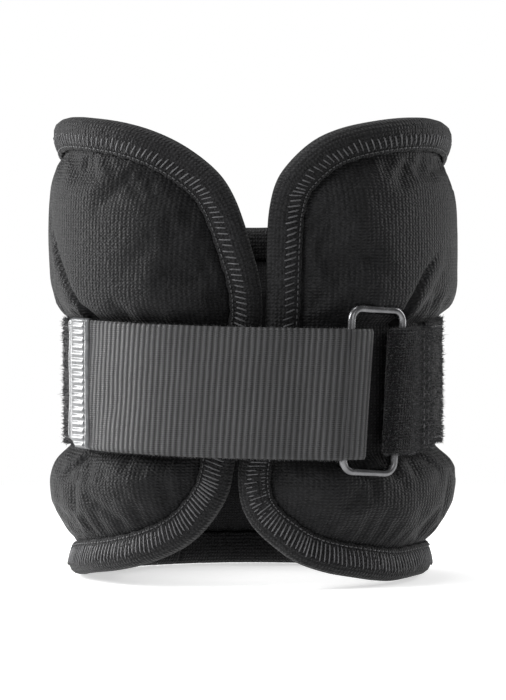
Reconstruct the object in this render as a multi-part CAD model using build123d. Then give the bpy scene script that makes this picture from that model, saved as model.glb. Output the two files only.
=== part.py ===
from build123d import *
import math
import os
import numpy as np

# Ankle cuff weight: three weighted pockets (rear, left wing, right wing) wrapped round
# an ankle, closed by an elastic strap that passes through a metal ring.
# Units mm. Origin: centre of the ankle opening on the base plane, +Z up the leg.
# The front faces -Y. Azimuth is in degrees, 0 at the front, positive towards +X (right).

os.makedirs("parts", exist_ok=True)

# ---- shell of the cuff ----
H_WING = 137.0          # height of the two wings
SEAM = 149.0            # azimuth of the wings' rear edges
REAR_EDGES = (150.2, 209.8)  # azimuths of the rear pocket's right and left edges
R_ARC = 50.0            # radius on which arc lengths are measured
R_BORE = 37.5           # round seat for the ankle at the strap
R_BORE_RAW = 37.15      # lining before the seat is cut
BORE_Z = (40.0, 76.0)   # bottom and top of the seat
FLARE = 0.05            # step outwards at each end of the seat
FLARE_LOW = 2.0         # seat radius gained at the base
FLARE_HIGH = 2.5        # seat radius gained at the top of the upper cone
H_UPPER_CONE = 70.0
R_MID = 46.0            # sewn edge radius at the waist
R_WAIST = 54.6          # cover under the strap
R_LOBE = 60.4           # cover at the fullest part of the lobes
REAR_DROP = 1.0         # the rear cover is this much lower than the wings'
COVER = 2.5             # cover thickness
LINING = 2.2            # lining thickness
SPLIT = 0.3             # half gap between cover and lining along the bound edge
EDGE_INSET = 2.6        # cover and lining stop this far inside the outline
SWELL_WING = 25.0       # distance over which a wing swells to full thickness
SWELL_REAR = 16.0       # the same for the rear pocket
SEAM_PULL = 5.5         # seam edges count as this much further out for the swelling

# ---- binding tape ----
TAPE = 10.0             # visible width
T_BIND = 1.2            # thickness
H_IN = 3.3              # inside half height of the fold
H_OUT = H_IN + T_BIND
LEG = TAPE - 0.4        # length of each leg of the fold
BIND_THREAD = 0.55
SEAM_THREAD = 0.5

# ---- strap and loop tape ----
Z_STRAP = 58.0          # centre height
W_STRAP = 38.0
T_STRAP = 1.4
W_TAPE = 36.0           # loop tape width
R_TAPE = (54.9, 56.5)   # loop tape, inner and outer radius
R_RUN = (R_TAPE[1] + 0.25, R_TAPE[1] + 0.25 + T_STRAP)  # strap, lower run
R_TAIL = (R_RUN[1] + 0.3, R_RUN[1] + 0.3 + T_STRAP)     # strap, returning tail
STRAP_Z = (Z_STRAP - W_STRAP / 2, Z_STRAP + W_STRAP / 2)
TAPE_Z = (Z_STRAP - W_TAPE / 2, Z_STRAP + W_TAPE / 2)
TAPE_END = SEAM - 3.3   # loop tape stops short of the channel seam
REAR_TAPE = (153.9, 206.7)
ROOT_AZ = -50.0         # sewn root of the strap
TAB_AZ = (-64.5, -53.5) # end tab
R_TAB = R_TAIL[1] + 0.25
FOLD_REACH = 6.6        # how far the strap fold stands past its bar
FOLD_SETBACK = 1.6      # degrees from the bar to the ends of the run and the tail

# ---- ring and keeper ----
D_WIRE = 2.6
RING_W = 21.0           # outside, along the strap
RING_H = 50.0           # outside, across the strap
RING_CORNER = 3.2       # corner radius of the wire's centre line
RING_AZ = 36.0
R_RING = 59.0
BAR_CLEARANCE = 0.2     # between wire and folded webbing
KEEP_AZ = 65.0          # where the keeper meets the loop tape
KEEP_REACH = 3.6        # how far the keeper fold stands past its bar
T_KEEP = 1.5

DEG = math.pi / 180

# Outlines at the outer edge of the binding: (azimuth, height)
LEFT = [
    (-149, 0), (-120, 0), (-92, 0.2), (-72, 2.0), (-50, 4.4), (-34.5, 7.8), (-22, 13.2),
    (-13.7, 20.5), (-8.6, 28), (-6.6, 36), (-4.2, 47), (-0.6, 61), (2.6, 74), (3.4, 82),
    (2.2, 91), (-0.4, 99), (-2.9, 106), (-6.5, 114), (-11.3, 120.5), (-21.8, 128),
    (-32.6, 132.8), (-44, 135.6), (-58, 136.9), (-72, 137), (-90, 134.5), (-108, 129),
    (-126, 120.5), (-140, 113), (-149, 109),
]
RIGHT = [
    (149, 0), (120, 0), (92, 0.6), (70, 1.0), (52, 0.8), (36, 2.7), (25.7, 4.4), (15, 7.6),
    (7.5, 12), (0.4, 17.5), (-3.8, 23.5), (-5.2, 30), (-5.0, 36), (-2.6, 46), (1.0, 60),
    (3.9, 73), (4.6, 82), (4.8, 92), (5.0, 101), (5.6, 110), (8.2, 118.8), (13, 124.6),
    (20.7, 130.5), (29, 133.8), (40, 135.9), (53, 137), (68, 136.6), (86, 134), (104, 129),
    (124, 120), (138, 113.5), (149, 109),
]
REAR_BOTTOM = [(150.2, 0), (165, 0), (180, 0), (195, 0), (209.8, 0)]
REAR_TOP = [
    (209.8, 106.5), (203, 105), (195, 103.6), (180, 103), (165, 103.6), (157, 105),
    (150.2, 106.5),
]

# Extra section stations, degrees in from a wing's front edge
FRONT_STEPS = (0.6, 1.8, 3.2, 5.0, 7.2, 10.0, 13.0, 16.0, 19.0, 22.0, 25.0, 28.0)


def save(name, shape):
    if isinstance(shape, list):
        shape = Compound(children=shape)
    export_step(shape, f"parts/{name}.step")


# ---------------------------------------------------------------------------
# Unrolled panels: outlines are arrays of (arc length, height)
# ---------------------------------------------------------------------------
def at(az, radius, z):
    return Vector(radius * math.sin(az * DEG), -radius * math.cos(az * DEG), z)


def arc_of(az):
    return az * DEG * R_ARC


def unroll(points):
    return np.array([(arc_of(az), z) for az, z in points], float)


def smooth(points, count=150):
    """Dense outline of a wing, kept above the base plane."""
    spline = Edge.make_spline([Vector(x, y, 0) for x, y in unroll(points)])
    dense = [spline.position_at(i / count) for i in range(count + 1)]
    return np.array([(p.X, max(p.Y, 0.0)) for p in dense])


def inset(outline, distance):
    """Move a closed outline inwards, vertex by vertex."""
    n = len(outline)
    area = 0.5 * sum(
        outline[i][0] * outline[(i + 1) % n][1] - outline[(i + 1) % n][0] * outline[i][1]
        for i in range(n))
    turn = 1 if area > 0 else -1
    moved = []
    for i in range(n):
        before, here, after = outline[i - 1], outline[i], outline[(i + 1) % n]
        u = (here - before) / (np.linalg.norm(here - before) + 1e-9)
        v = (after - here) / (np.linalg.norm(after - here) + 1e-9)
        mitre = np.array([-u[1], u[0]]) * turn + np.array([-v[1], v[0]]) * turn
        mitre = mitre / max(np.dot(mitre, mitre) / 2, 0.6)
        moved.append(here + mitre * distance)
    return np.array(moved)


def pulled(outline, low_az=None, high_az=None):
    """Outline with its seam sides moved out, so a pocket swells closer to a seam than to
    a bound edge."""
    moved = outline.copy()
    arcs = outline[:, 0]
    if low_az is not None:
        moved[arcs < arc_of(low_az) + 0.05, 0] -= SEAM_PULL
    if high_az is not None:
        moved[arcs > arc_of(high_az) - 0.05, 0] += SEAM_PULL
    return moved


def span(outline, arc):
    """Lowest and highest crossing of the outline at an arc position."""
    heights = []
    n = len(outline)
    for i in range(n):
        a, b = outline[i], outline[(i + 1) % n]
        if (a[0] - arc) * (b[0] - arc) <= 0 and abs(a[0] - b[0]) > 1e-9:
            t = (arc - a[0]) / (b[0] - a[0])
            heights.append(a[1] + t * (b[1] - a[1]))
    return (min(heights), max(heights)) if len(heights) > 1 else None


def edge_distance(outline, arc, z):
    start = outline
    side = np.roll(outline, -1, axis=0) - start
    point = np.array([arc, z])
    t = np.clip(((point - start) * side).sum(1) / ((side * side).sum(1) + 1e-12), 0, 1)
    nearest = start + side * t[:, None]
    return float(np.min(np.linalg.norm(point - nearest, axis=1)))


def reach(outline, arc, depth):
    """Lowest and highest point at an arc position at least depth inside the outline."""
    ends = span(outline, arc)
    if ends is None:
        return None
    heights = [z for z in np.arange(ends[0], ends[1], 0.4)
               if edge_distance(outline, arc, z) >= depth]
    return (min(heights), max(heights)) if len(heights) > 1 else None


# ---------------------------------------------------------------------------
# Surfaces of the cuff, as radius over azimuth and height
# ---------------------------------------------------------------------------
def bell(x, low, high):
    """0 below low, 1 above high, smooth between."""
    t = min(max((x - low) / (high - low), 0), 1)
    return t * t * (3 - 2 * t)


def r_mid(az, z):
    """Middle of the sewn edge: waisted at the strap, wider above and below."""
    side = bell(abs(az), 5, 60) * (1 - bell(abs(az), 115, 149))
    if z > Z_STRAP:
        return R_MID + (4.5 + 5.5 * side) * ((z - Z_STRAP) / (H_WING - Z_STRAP)) ** 2
    widening = 2.5 + (2.5 if az < 0 else 0.5) * side
    return R_MID + widening * ((Z_STRAP - z) / Z_STRAP) ** 2


def swell(outline, az, z):
    """0 along the bound edge, rising to 1 in the full part of the pocket."""
    distance = edge_distance(outline, arc_of(az), z)
    grow = SWELL_REAR if abs(az) > SEAM else SWELL_WING
    u = min(max((distance - TAPE - 0.8) / grow, 0), 1)
    return (1 - (1 - u) ** 2.2) * bell(u, 0, 0.22)


def r_out(outline, az, z):
    """Outer surface of the cover."""
    full = R_WAIST + (R_LOBE - R_WAIST) * bell(abs(z - Z_STRAP), 20.5, 34)
    if abs(az) > SEAM:
        full -= REAR_DROP
    base = r_mid(az, z) + SPLIT + COVER
    return base + (full - base) * swell(outline, az, z) if full > base else base


def r_in(outline, az, z):
    """Inner surface of the lining."""
    height = abs(z - Z_STRAP)
    full = R_BORE_RAW + 0.75 * bell(height, 16, 26) + 7.0 * bell(height, 22, 80)
    base = r_mid(az, z) - SPLIT - LINING
    return base + (full - base) * swell(outline, az, z)


# ---------------------------------------------------------------------------
# Pockets: cover, lining, shot pouch, shot
# ---------------------------------------------------------------------------
def stations(low, high, step):
    n = max(int(round((high - low) / step)), 2)
    return [low + (high - low) * i / n for i in range(n + 1)]


def wing_stations(low, high, front):
    """Even stations with closer ones near the rounded front edge."""
    inward = 1 if low + high > 2 * front else -1
    candidates = stations(low, high, 6.5) + [front + inward * step for step in FRONT_STEPS]
    kept = []
    for az in sorted(set(round(x, 3) for x in candidates if low <= x <= high)):
        if not kept or az - kept[-1] >= 1.1:
            kept.append(az)
    return kept


def panel(az_list, limits, outer, inner, n=23):
    """Solid between two surfaces; limits gives the low and high edge at an azimuth."""
    sections = []
    for az in az_list:
        ends = limits(az)
        if ends is None or ends[1] - ends[0] < 1.5:
            continue
        low, high = ends
        # halfway between cosine and even spacing, so points gather at the edges
        eased = [low + (high - low) * (0.5 - 0.5 * math.cos(math.pi * i / (n - 1)))
                 for i in range(n)]
        heights = [0.5 * z + 0.5 * (low + (high - low) * i / (n - 1))
                   for i, z in enumerate(eased)]
        out_pts = [at(az, outer(az, z), z) for z in heights]
        in_pts = [at(az, inner(az, z), z) for z in heights]
        sections.append(Wire([
            Edge.make_spline(out_pts),
            Edge.make_line(out_pts[-1], in_pts[-1]),
            Edge.make_spline(in_pts),
            Edge.make_line(in_pts[0], out_pts[0]),
        ]))
    return Solid.make_loft(sections, True)


def cover_and_lining(name, outline, az_list):
    shell_outline = inset(outline, EDGE_INSET)

    def whole(az):
        return span(shell_outline, arc_of(az))

    cover = panel(az_list, whole,
                  lambda az, z: r_out(outline, az, z),
                  lambda az, z: r_out(outline, az, z) - COVER)
    lining = panel(az_list, whole,
                   lambda az, z: r_in(outline, az, z) + LINING,
                   lambda az, z: r_in(outline, az, z))
    low, high = BORE_Z
    seat = Pos(0, 0, (low + high) / 2) * Cylinder(R_BORE, high - low)
    below = Pos(0, 0, low / 2) * Cone(R_BORE + FLARE_LOW, R_BORE + FLARE, low)
    above = Pos(0, 0, high + H_UPPER_CONE / 2) * Cone(
        R_BORE + FLARE, R_BORE + FLARE_HIGH, H_UPPER_CONE)
    save(f"{name}_cover", cover)
    save(f"{name}_lining", (lining - seat - below - above).solids()[0])


def pouch_and_shot(name, outline, az_list):
    def outer_wall(az, z):
        return r_out(outline, az, z) - COVER - 0.9

    def inner_wall(az, z):
        return max(r_in(outline, az, z) + LINING + 0.8, R_BORE + 2.2)

    def layer(layer_stations, margin, gap, half):
        """Solid margin inside the binding and gap inside the walls, at least half thick
        on each side of their middle."""
        def outer(az, z):
            wall = outer_wall(az, z)
            return max(wall - gap, (wall + inner_wall(az, z)) / 2 + half)

        def inner(az, z):
            wall = inner_wall(az, z)
            return min(wall + gap, (outer_wall(az, z) + wall) / 2 - half)

        def limits(az):
            return reach(outline, arc_of(az), TAPE + margin)

        return panel(layer_stations, limits, outer, inner)

    pouch_margin = 6.5

    def roomy(az):
        """True where the pouch keeps most of the height between the bindings."""
        inside = reach(outline, arc_of(az), TAPE + pouch_margin)
        full = span(outline, arc_of(az))
        if inside is None or full is None:
            return False
        free = full[1] - full[0] - 2 * TAPE - 2 * pouch_margin
        return inside[1] - inside[0] > 0.84 * free

    room = [az for az in az_list if roomy(az)]
    bag = layer(room, margin=pouch_margin, gap=0, half=1.2)
    hollow = layer(room[1:-1], margin=8.0, gap=0.9, half=0.7)
    shot = layer(room[2:-2], margin=9.0, gap=1.5, half=0.3)
    save(f"{name}_shot_pouch", (bag - hollow).solids()[0])
    save(f"{name}_steel_shot", shot)


# ---------------------------------------------------------------------------
# Binding and stitching. Profiles are (distance in from the edge, height off the
# sewn middle surface).
# ---------------------------------------------------------------------------
BINDING_PROFILE = [
    (LEG, H_OUT), (1.4, H_OUT), (0.4, H_OUT - 1.1), (0.0, 1.8),
    (0.0, -1.8), (0.4, -H_OUT + 1.1), (1.4, -H_OUT), (LEG, -H_OUT),
    (LEG, -H_IN), (1.3, -H_IN), (1.3, H_IN), (LEG, H_IN),
]


def thread_profile(offset, height, size):
    """Diamond standing on the given height."""
    half = size / 2
    return [(offset - half, height + half), (offset, height),
            (offset + half, height + half), (offset, height + size)]


def on_panel(arc, z, height):
    az = arc / (DEG * R_ARC)
    return at(az, r_mid(az, z) + height, z)


def resample(path, step):
    lengths = np.r_[0, np.cumsum(np.linalg.norm(np.diff(path, axis=0), axis=1))]
    n = max(int(round(lengths[-1] / step)), 2)
    t = np.linspace(0, lengths[-1], n + 1)
    return np.c_[np.interp(t, lengths, path[:, 0]), np.interp(t, lengths, path[:, 1])]


def edge_sweep(path, profile, side):
    """Run a profile along an outline; side is 1 where the panel lies left of the path,
    -1 where it lies right. The ends are cut vertically."""
    points = resample(path, 5.0)
    last = len(points) - 1
    wires = []
    for i, point in enumerate(points):
        along = points[min(i + 1, last)] - points[max(i - 1, 0)]
        along = along / np.linalg.norm(along)
        inward = np.array([-along[1], along[0]]) * side
        if i in (0, last):
            inward = np.array([0.0, 1.0 if inward[1] > 0 else -1.0])
        corners = [on_panel(*(point + inward * offset), height) for offset, height in profile]
        wires.append(Wire.make_polygon(corners, close=True))
    return Solid.make_loft(wires, True)


def binding_thread(path, side):
    """Thread near the free edge of the binding, stopping short of the path's ends."""
    profile = thread_profile(TAPE - 1.6, H_OUT + 0.04, BIND_THREAD)
    return edge_sweep(resample(path, 1.0)[4:-4], profile, side)


def wing_binding(name, outline, side):
    save(f"{name}_binding", edge_sweep(outline, BINDING_PROFILE, side))
    save(f"{name}_binding_thread", binding_thread(outline, side))


def rear_binding():
    bottom, top = unroll(REAR_BOTTOM), unroll(REAR_TOP)
    foot = edge_sweep(bottom - np.array([0.0, 0.3]), BINDING_PROFILE, 1)
    below_base = Pos(0, 0, -5) * Box(200, 200, 10)
    save("rear_binding_bottom", (foot - below_base).solids()[0])
    save("rear_binding_top", edge_sweep(top, BINDING_PROFILE, 1))
    save("rear_binding_thread", [binding_thread(bottom, 1), binding_thread(top, 1)])


def channel_stitching(name, edge_az, inward):
    """Two upright thread rows on the rear pocket beside a wing."""
    profile = thread_profile(0, SPLIT + COVER + 0.12, SEAM_THREAD)
    rows = []
    for offset in (1.2, 2.6):
        arc = arc_of(edge_az) + inward * offset
        wires = [Wire.make_polygon([on_panel(arc + dx, z, height) for dx, height in profile],
                                   close=True)
                 for z in np.linspace(11.5, 93.5, 15)]
        rows.append(Solid.make_loft(wires, True))
    save(f"{name}_channel_stitching", rows)


# ---------------------------------------------------------------------------
# Webbing
# ---------------------------------------------------------------------------
def sector(r0, r1, z0, z1, az0, az1):
    """Block between two radii, two heights and two azimuths."""
    corners = [at(az0, r0, z0), at(az0, r1, z0), at(az0, r1, z1), at(az0, r0, z1)]
    return Solid.revolve(Face(Wire.make_polygon(corners, close=True)), az1 - az0, Axis.Z)


def upright_rows(r0, r1, z_range, margin, half, azimuths):
    """Vertical stitch rows across a strap."""
    return [sector(r0, r1, z_range[0] + margin, z_range[1] - margin, az - half, az + half)
            for az in azimuths]


def ribbon(points, thickness, z_range):
    """Flat strap whose centre line runs through (azimuth, radius) points."""
    z0, z1 = z_range
    centre = np.array([(r * math.sin(az * DEG), -r * math.cos(az * DEG)) for az, r in points])
    left, right = [], []
    for i, here in enumerate(centre):
        along = centre[min(i + 1, len(centre) - 1)] - centre[max(i - 1, 0)]
        along = along / np.linalg.norm(along)
        shift = np.array([-along[1], along[0]]) * thickness / 2
        left.append(Vector(*(here + shift), z0))
        right.append(Vector(*(here - shift), z0))
    outline = Wire([
        Edge.make_spline(left),
        Edge.make_line(left[-1], right[-1]),
        Edge.make_spline(right),
        Edge.make_line(right[0], left[0]),
    ])
    return Solid.extrude(Face(outline), Vector(0, 0, z1 - z0))


def loop_tape(name, tape_az, stitch_az):
    save(f"{name}_loop_tape", sector(*R_TAPE, *TAPE_Z, *tape_az))
    save(f"{name}_loop_tape_stitching", [
        sector(R_TAPE[1] + 0.03, R_TAPE[1] + 0.38, z - 0.25, z + 0.25, *stitch_az)
        for z in (TAPE_Z[0] + 1.8, TAPE_Z[1] - 1.8)])


# ---------------------------------------------------------------------------
# Ring: a rounded rectangle of wire standing tangent to the cuff
# ---------------------------------------------------------------------------
HALF_W = RING_W / 2 - D_WIRE / 2
HALF_H = RING_H / 2 - D_WIRE / 2
RING_OUT = np.array([math.sin(RING_AZ * DEG), -math.cos(RING_AZ * DEG)])
RING_ALONG = np.array([math.cos(RING_AZ * DEG), math.sin(RING_AZ * DEG)])
RING_CENTRE = RING_OUT * R_RING
STRAP_BAR = RING_CENTRE - RING_ALONG * HALF_W
KEEPER_BAR = RING_CENTRE + RING_ALONG * HALF_W


def ring():
    plane = Plane(origin=(*RING_CENTRE, Z_STRAP), x_dir=(*RING_ALONG, 0), z_dir=(*RING_OUT, 0))
    path = Wire((plane * RectangleRounded(2 * HALF_W, 2 * HALF_H, RING_CORNER)).edges())
    start = plane.from_local_coords(Vector(0, HALF_H, 0))
    wire_plane = Plane(origin=start, z_dir=(*RING_ALONG, 0))
    section = Face(Wire([Edge.make_circle(D_WIRE / 2, wire_plane)]))
    save("ring", Solid.sweep(section, path, transition=Transition.RIGHT))


def to_polar(x, y):
    return math.atan2(x, -y) / DEG, math.hypot(x, y)


def turn_round(bar, radius, length, side, angles):
    """(azimuth, radius) points of a fold round a bar, on the side of rising (1) or
    falling (-1) azimuth, standing length past it."""
    out = bar / np.linalg.norm(bar)
    along = np.array([-out[1], out[0]])
    return [to_polar(*(bar + side * math.cos(a * DEG) * along * length
                       + math.sin(a * DEG) * out * radius)) for a in angles]


def keeper():
    """End of the loop tape folded round the ring's right bar."""
    end_az = KEEP_AZ - 0.3
    r_tape_mid = R_TAPE[0] + T_KEEP / 2
    r_over = 57.9
    under = [(end_az, r_tape_mid + 0.02), (60, r_tape_mid + 0.02), (55, r_tape_mid + 0.1),
             (51, 56.1), (48, 56.9)]
    turn = turn_round(KEEPER_BAR, D_WIRE / 2 + BAR_CLEARANCE + T_KEEP / 2, KEEP_REACH, -1,
                      np.linspace(-80, 90, 9))
    over = [(48.5, 61.55), (51.5, 60.4), (54.5, 59.0), (58, 58.2), (61.5, 57.95),
            (end_az, r_over)]
    save("ring_keeper", ribbon(under + turn + over, T_KEEP, TAPE_Z))
    r_top = r_over + T_KEEP / 2
    save("keeper_stitching",
         upright_rows(r_top + 0.1, r_top + 0.5, TAPE_Z, 2, 0.25, (60.6, 63.0)))


def strap():
    """Lower run from the root, fold round the ring's left bar, tail back to the end tab."""
    bar_az, bar_r = to_polar(*STRAP_BAR)
    end_az = bar_az - FOLD_SETBACK
    save("strap_lower_run", sector(*R_RUN, *STRAP_Z, ROOT_AZ, end_az))

    fold_r = D_WIRE / 2 + BAR_CLEARANCE + T_STRAP / 2
    turn = turn_round(STRAP_BAR, fold_r, FOLD_REACH, 1, np.linspace(-90, 90, 11))
    fold = [(bar_az - 1.2, bar_r - fold_r)] + turn + [(bar_az - 1.2, bar_r + fold_r)]
    save("strap_fold", ribbon(fold, T_STRAP, STRAP_Z))

    tail_r = (R_TAIL[0] + R_TAIL[1]) / 2
    drop = bar_r + fold_r - tail_r
    tail = [(end_az - x, tail_r + drop * (1 - bell(x, 1.0, 13.0))) for x in range(0, 15, 2)]
    tail += [(az, tail_r) for az in np.arange(8, TAB_AZ[1] - 1, -6.0)]
    tail.append((TAB_AZ[1] + 0.3, tail_r))
    save("strap_tail", ribbon(tail, T_STRAP, STRAP_Z))

    save("strap_root_stitching", [
        sector(R_RUN[1] + 0.03, R_RUN[1] + 0.26, z - 0.3, z + 0.3, ROOT_AZ + 1.5, ROOT_AZ + 8)
        for z in (44, 52, 64, 72)])


def end_tab():
    """Hook patch under the strap's end, and the tab over it."""
    save("hook_patch", sector(R_RUN[0], R_RUN[1] + 0.05, STRAP_Z[0] + 0.5, STRAP_Z[1] - 0.5,
                              TAB_AZ[0] + 0.4, TAB_AZ[1] - 0.2))
    save("strap_end_tab", sector(R_TAIL[0], R_TAB, *STRAP_Z, *TAB_AZ))
    save("end_tab_stitching", upright_rows(R_TAB + 0.04, R_TAB + 0.4, STRAP_Z, 2, 0.3,
                                           (TAB_AZ[1] - 1.3, TAB_AZ[1] - 2.9)))


left_outline = smooth(LEFT)
right_outline = smooth(RIGHT)
rear_outline = unroll(REAR_BOTTOM + REAR_TOP)

for pocket in (
    ("left", pulled(left_outline, low_az=-SEAM), wing_stations(-SEAM, 2.4, front=3.4)),
    ("right", pulled(right_outline, high_az=SEAM), wing_stations(-4.4, SEAM, front=-5.2)),
    ("rear", pulled(rear_outline, *REAR_EDGES), stations(150.4, 209.6, 3.2)),
):
    cover_and_lining(*pocket)
    pouch_and_shot(*pocket)

wing_binding("left", left_outline, 1)
wing_binding("right", right_outline, -1)
rear_binding()
channel_stitching("left", REAR_EDGES[1], -1)
channel_stitching("right", REAR_EDGES[0], 1)

loop_tape("left", (-TAPE_END, -30.0), (-TAPE_END + 0.5, TAB_AZ[0] - 2.5))
loop_tape("rear", REAR_TAPE, (REAR_TAPE[0] + 0.6, REAR_TAPE[1] - 0.6))
loop_tape("right", (KEEP_AZ + 0.4, TAPE_END), (KEEP_AZ + 1.0, TAPE_END - 0.5))

ring()
keeper()
strap()
end_tab()
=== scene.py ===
# A weighted cuff standing upright: a left wing, a right wing and a rear pad, each a cloth pocket
# with a pouch of steel shot, closed at the front by an elastic strap that turns back through a
# metal ring. Pieces are worked out in millimetres about the vertical z axis, with the base at
# z = 0. Azimuth 0 is the front (-Y) and grows towards +X, the right-hand side.
import bmesh
import bpy
import math
import numpy as np
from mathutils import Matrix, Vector


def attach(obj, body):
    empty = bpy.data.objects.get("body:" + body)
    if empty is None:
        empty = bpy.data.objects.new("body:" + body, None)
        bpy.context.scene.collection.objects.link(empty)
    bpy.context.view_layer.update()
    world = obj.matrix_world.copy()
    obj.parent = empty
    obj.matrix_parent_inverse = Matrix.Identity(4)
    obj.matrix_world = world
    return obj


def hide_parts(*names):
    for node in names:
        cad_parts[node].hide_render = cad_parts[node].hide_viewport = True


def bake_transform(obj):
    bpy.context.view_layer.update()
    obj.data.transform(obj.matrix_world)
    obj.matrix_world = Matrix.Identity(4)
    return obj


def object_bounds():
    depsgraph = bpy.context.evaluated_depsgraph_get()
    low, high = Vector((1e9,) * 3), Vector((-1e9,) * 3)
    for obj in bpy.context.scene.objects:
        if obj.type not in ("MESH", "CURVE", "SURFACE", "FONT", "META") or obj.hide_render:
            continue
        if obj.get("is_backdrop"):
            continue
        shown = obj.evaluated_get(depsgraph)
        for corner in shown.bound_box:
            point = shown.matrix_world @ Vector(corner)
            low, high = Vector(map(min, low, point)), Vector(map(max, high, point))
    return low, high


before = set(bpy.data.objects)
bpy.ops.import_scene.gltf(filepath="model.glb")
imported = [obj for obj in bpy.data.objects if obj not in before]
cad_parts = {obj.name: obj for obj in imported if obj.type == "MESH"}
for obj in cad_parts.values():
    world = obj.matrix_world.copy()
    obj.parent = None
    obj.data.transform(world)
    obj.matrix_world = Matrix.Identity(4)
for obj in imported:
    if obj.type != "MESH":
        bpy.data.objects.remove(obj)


def write_bounds():
    rows = []
    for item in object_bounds():
        # an item is either a point or a single number
        try:
            rows.append([float(x) for x in item])
        except TypeError:
            rows.append(float(item))


write_bounds()

MM = 0.001
DEG = math.pi / 180
UV_PER_MM = 0.01

R_UNROLL = 50.0     # radius at which panels are unrolled to arc length
R_MID = 46.0        # middle surface of the panels at strap height
Z_STRAP = 58.0      # mid-height of the strap
H_WING = 137.0
SEAM_AZ = 149.0     # azimuth of the seam between a wing and the rear pad
SIDES = (("left", -1), ("right", 1))

COVER_THICK, LINING_THICK = 2.5, 2.2
HALF_GAP = 0.3      # each cloth layer's distance from the middle surface at its edge
TAPE_WIDTH = 10.0   # width of the edge binding
R_WAIST = 54.6      # outer radius under the strap
R_LOBE = 60.4       # outer radius of the filled lobes above and below it
R_INSIDE = 37.5     # inner radius of the filled pockets

# Outlines in (azimuth, height). A wing's runs along the base from the seam to the front edge,
# up that edge and back along the top.
LEFT_OUTLINE = [
    (-149, 0), (-120, 0), (-92, 0.2), (-72, 2.0), (-50, 4.4), (-34.5, 7.8), (-22, 13.2),
    (-13.7, 20.5), (-8.6, 28), (-6.6, 36), (-4.2, 47), (-0.6, 61), (2.6, 74), (3.4, 82),
    (2.2, 91), (-0.4, 99), (-2.9, 106), (-6.5, 114), (-11.3, 120.5), (-21.8, 128),
    (-32.6, 132.8), (-44, 135.6), (-58, 136.9), (-72, 137), (-90, 134.5), (-108, 129),
    (-126, 120.5), (-140, 113), (-149, 109)]
RIGHT_OUTLINE = [
    (149, 0), (120, 0), (92, 0.6), (70, 1.0), (52, 0.8), (36, 2.7), (25.7, 4.4), (15, 7.6),
    (7.5, 12), (0.4, 17.5), (-3.8, 23.5), (-5.2, 30), (-5.0, 36), (-2.6, 46), (1.0, 60),
    (3.9, 73), (4.6, 82), (4.8, 92), (5.0, 101), (5.6, 110), (8.2, 118.8), (13, 124.6),
    (20.7, 130.5), (29, 133.8), (40, 135.9), (53, 137), (68, 136.6), (86, 134), (104, 129),
    (124, 120), (138, 113.5), (149, 109)]
REAR_LOW = [(150.2, 0), (165, 0), (180, 0), (195, 0), (209.8, 0)]
REAR_TOP = [(209.8, 106.5), (203, 105), (195, 103.6), (180, 103), (165, 103.6), (157, 105),
            (150.2, 106.5)]


# ----------------------------------------------------------------- curves and coordinates
def linear(x, a, b):
    """0 at a, 1 at b, straight between."""
    return np.clip((np.asarray(x, float) - a) / (b - a), 0, 1)


def bell(x, a, b):
    """0 at a, 1 at b, eased between."""
    t = linear(x, a, b)
    return t * t * (3 - 2 * t)


def gauss(x, width):
    return np.exp(-(x / width) ** 2)


def unit(vectors):
    return vectors / (np.linalg.norm(vectors, axis=-1, keepdims=True) + 1e-12)


def arc_at(az):
    return az * DEG * R_UNROLL


def at(az, r, z):
    """Cylindrical to x, y, z."""
    az, r, z = np.broadcast_arrays(*(np.asarray(v, float) for v in (az, r, z)))
    return np.stack([r * np.sin(az * DEG), -r * np.cos(az * DEG), z], -1)


def mid_radius(az, z):
    """Radius of a panel's middle surface: it flares above and below the strap."""
    az, z = np.asarray(az, float), np.asarray(z, float)
    a = np.abs(az)
    side = bell(a, 5, 60) * (1 - bell(a, 115, SEAM_AZ))
    above = (4.5 + 5.5 * side) * ((z - Z_STRAP) / (H_WING - Z_STRAP)) ** 2
    below = (2.5 + np.where(az < 0, 2.5, 0.5) * side) * ((Z_STRAP - z) / Z_STRAP) ** 2
    return R_MID + np.where(z > Z_STRAP, above, below)


def on_panel(arc, z, height):
    """Point at a height above a panel's middle surface."""
    az = arc / (DEG * R_UNROLL)
    return at(az, mid_radius(az, z) + height, z)


def between(a, b, ta, tb, t):
    return (tb - t) / (tb - ta) * a + (t - ta) / (tb - ta) * b


def catmull(points, per=10):
    """Centripetal Catmull-Rom curve with per samples to a span."""
    p = np.array(points, float)
    q = np.vstack([2 * p[0] - p[1], p, 2 * p[-1] - p[-2]])
    out = []
    for i in range(1, len(q) - 2):
        p0, p1, p2, p3 = q[i - 1:i + 3]
        t0 = 0.0
        t1 = t0 + np.linalg.norm(p1 - p0) ** 0.5 + 1e-9
        t2 = t1 + np.linalg.norm(p2 - p1) ** 0.5 + 1e-9
        t3 = t2 + np.linalg.norm(p3 - p2) ** 0.5 + 1e-9
        for t in np.linspace(t1, t2, per, endpoint=False):
            a1 = between(p0, p1, t0, t1, t)
            a2 = between(p1, p2, t1, t2, t)
            a3 = between(p2, p3, t2, t3, t)
            b1 = between(a1, a2, t0, t2, t)
            b2 = between(a2, a3, t1, t3, t)
            out.append(between(b1, b2, t1, t2, t))
    out.append(p[-1])
    return np.array(out)


def unroll(points):
    """(azimuth, height) to (arc, height)."""
    return np.array([(arc_at(az), z) for az, z in points], float)


def arc_length(path):
    return np.r_[0, np.cumsum(np.linalg.norm(np.diff(path, axis=0), axis=1))]


def interp_rows(x, known, rows):
    return np.stack([np.interp(x, known, column) for column in rows.T], -1)


def resample(path, step=None, n=None):
    """Even spacing, by step or by number of spans."""
    length = arc_length(path)
    if n is None:
        n = max(int(round(length[-1] / step)), 2)
    return interp_rows(np.linspace(0, length[-1], n + 1), length, path)


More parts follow.
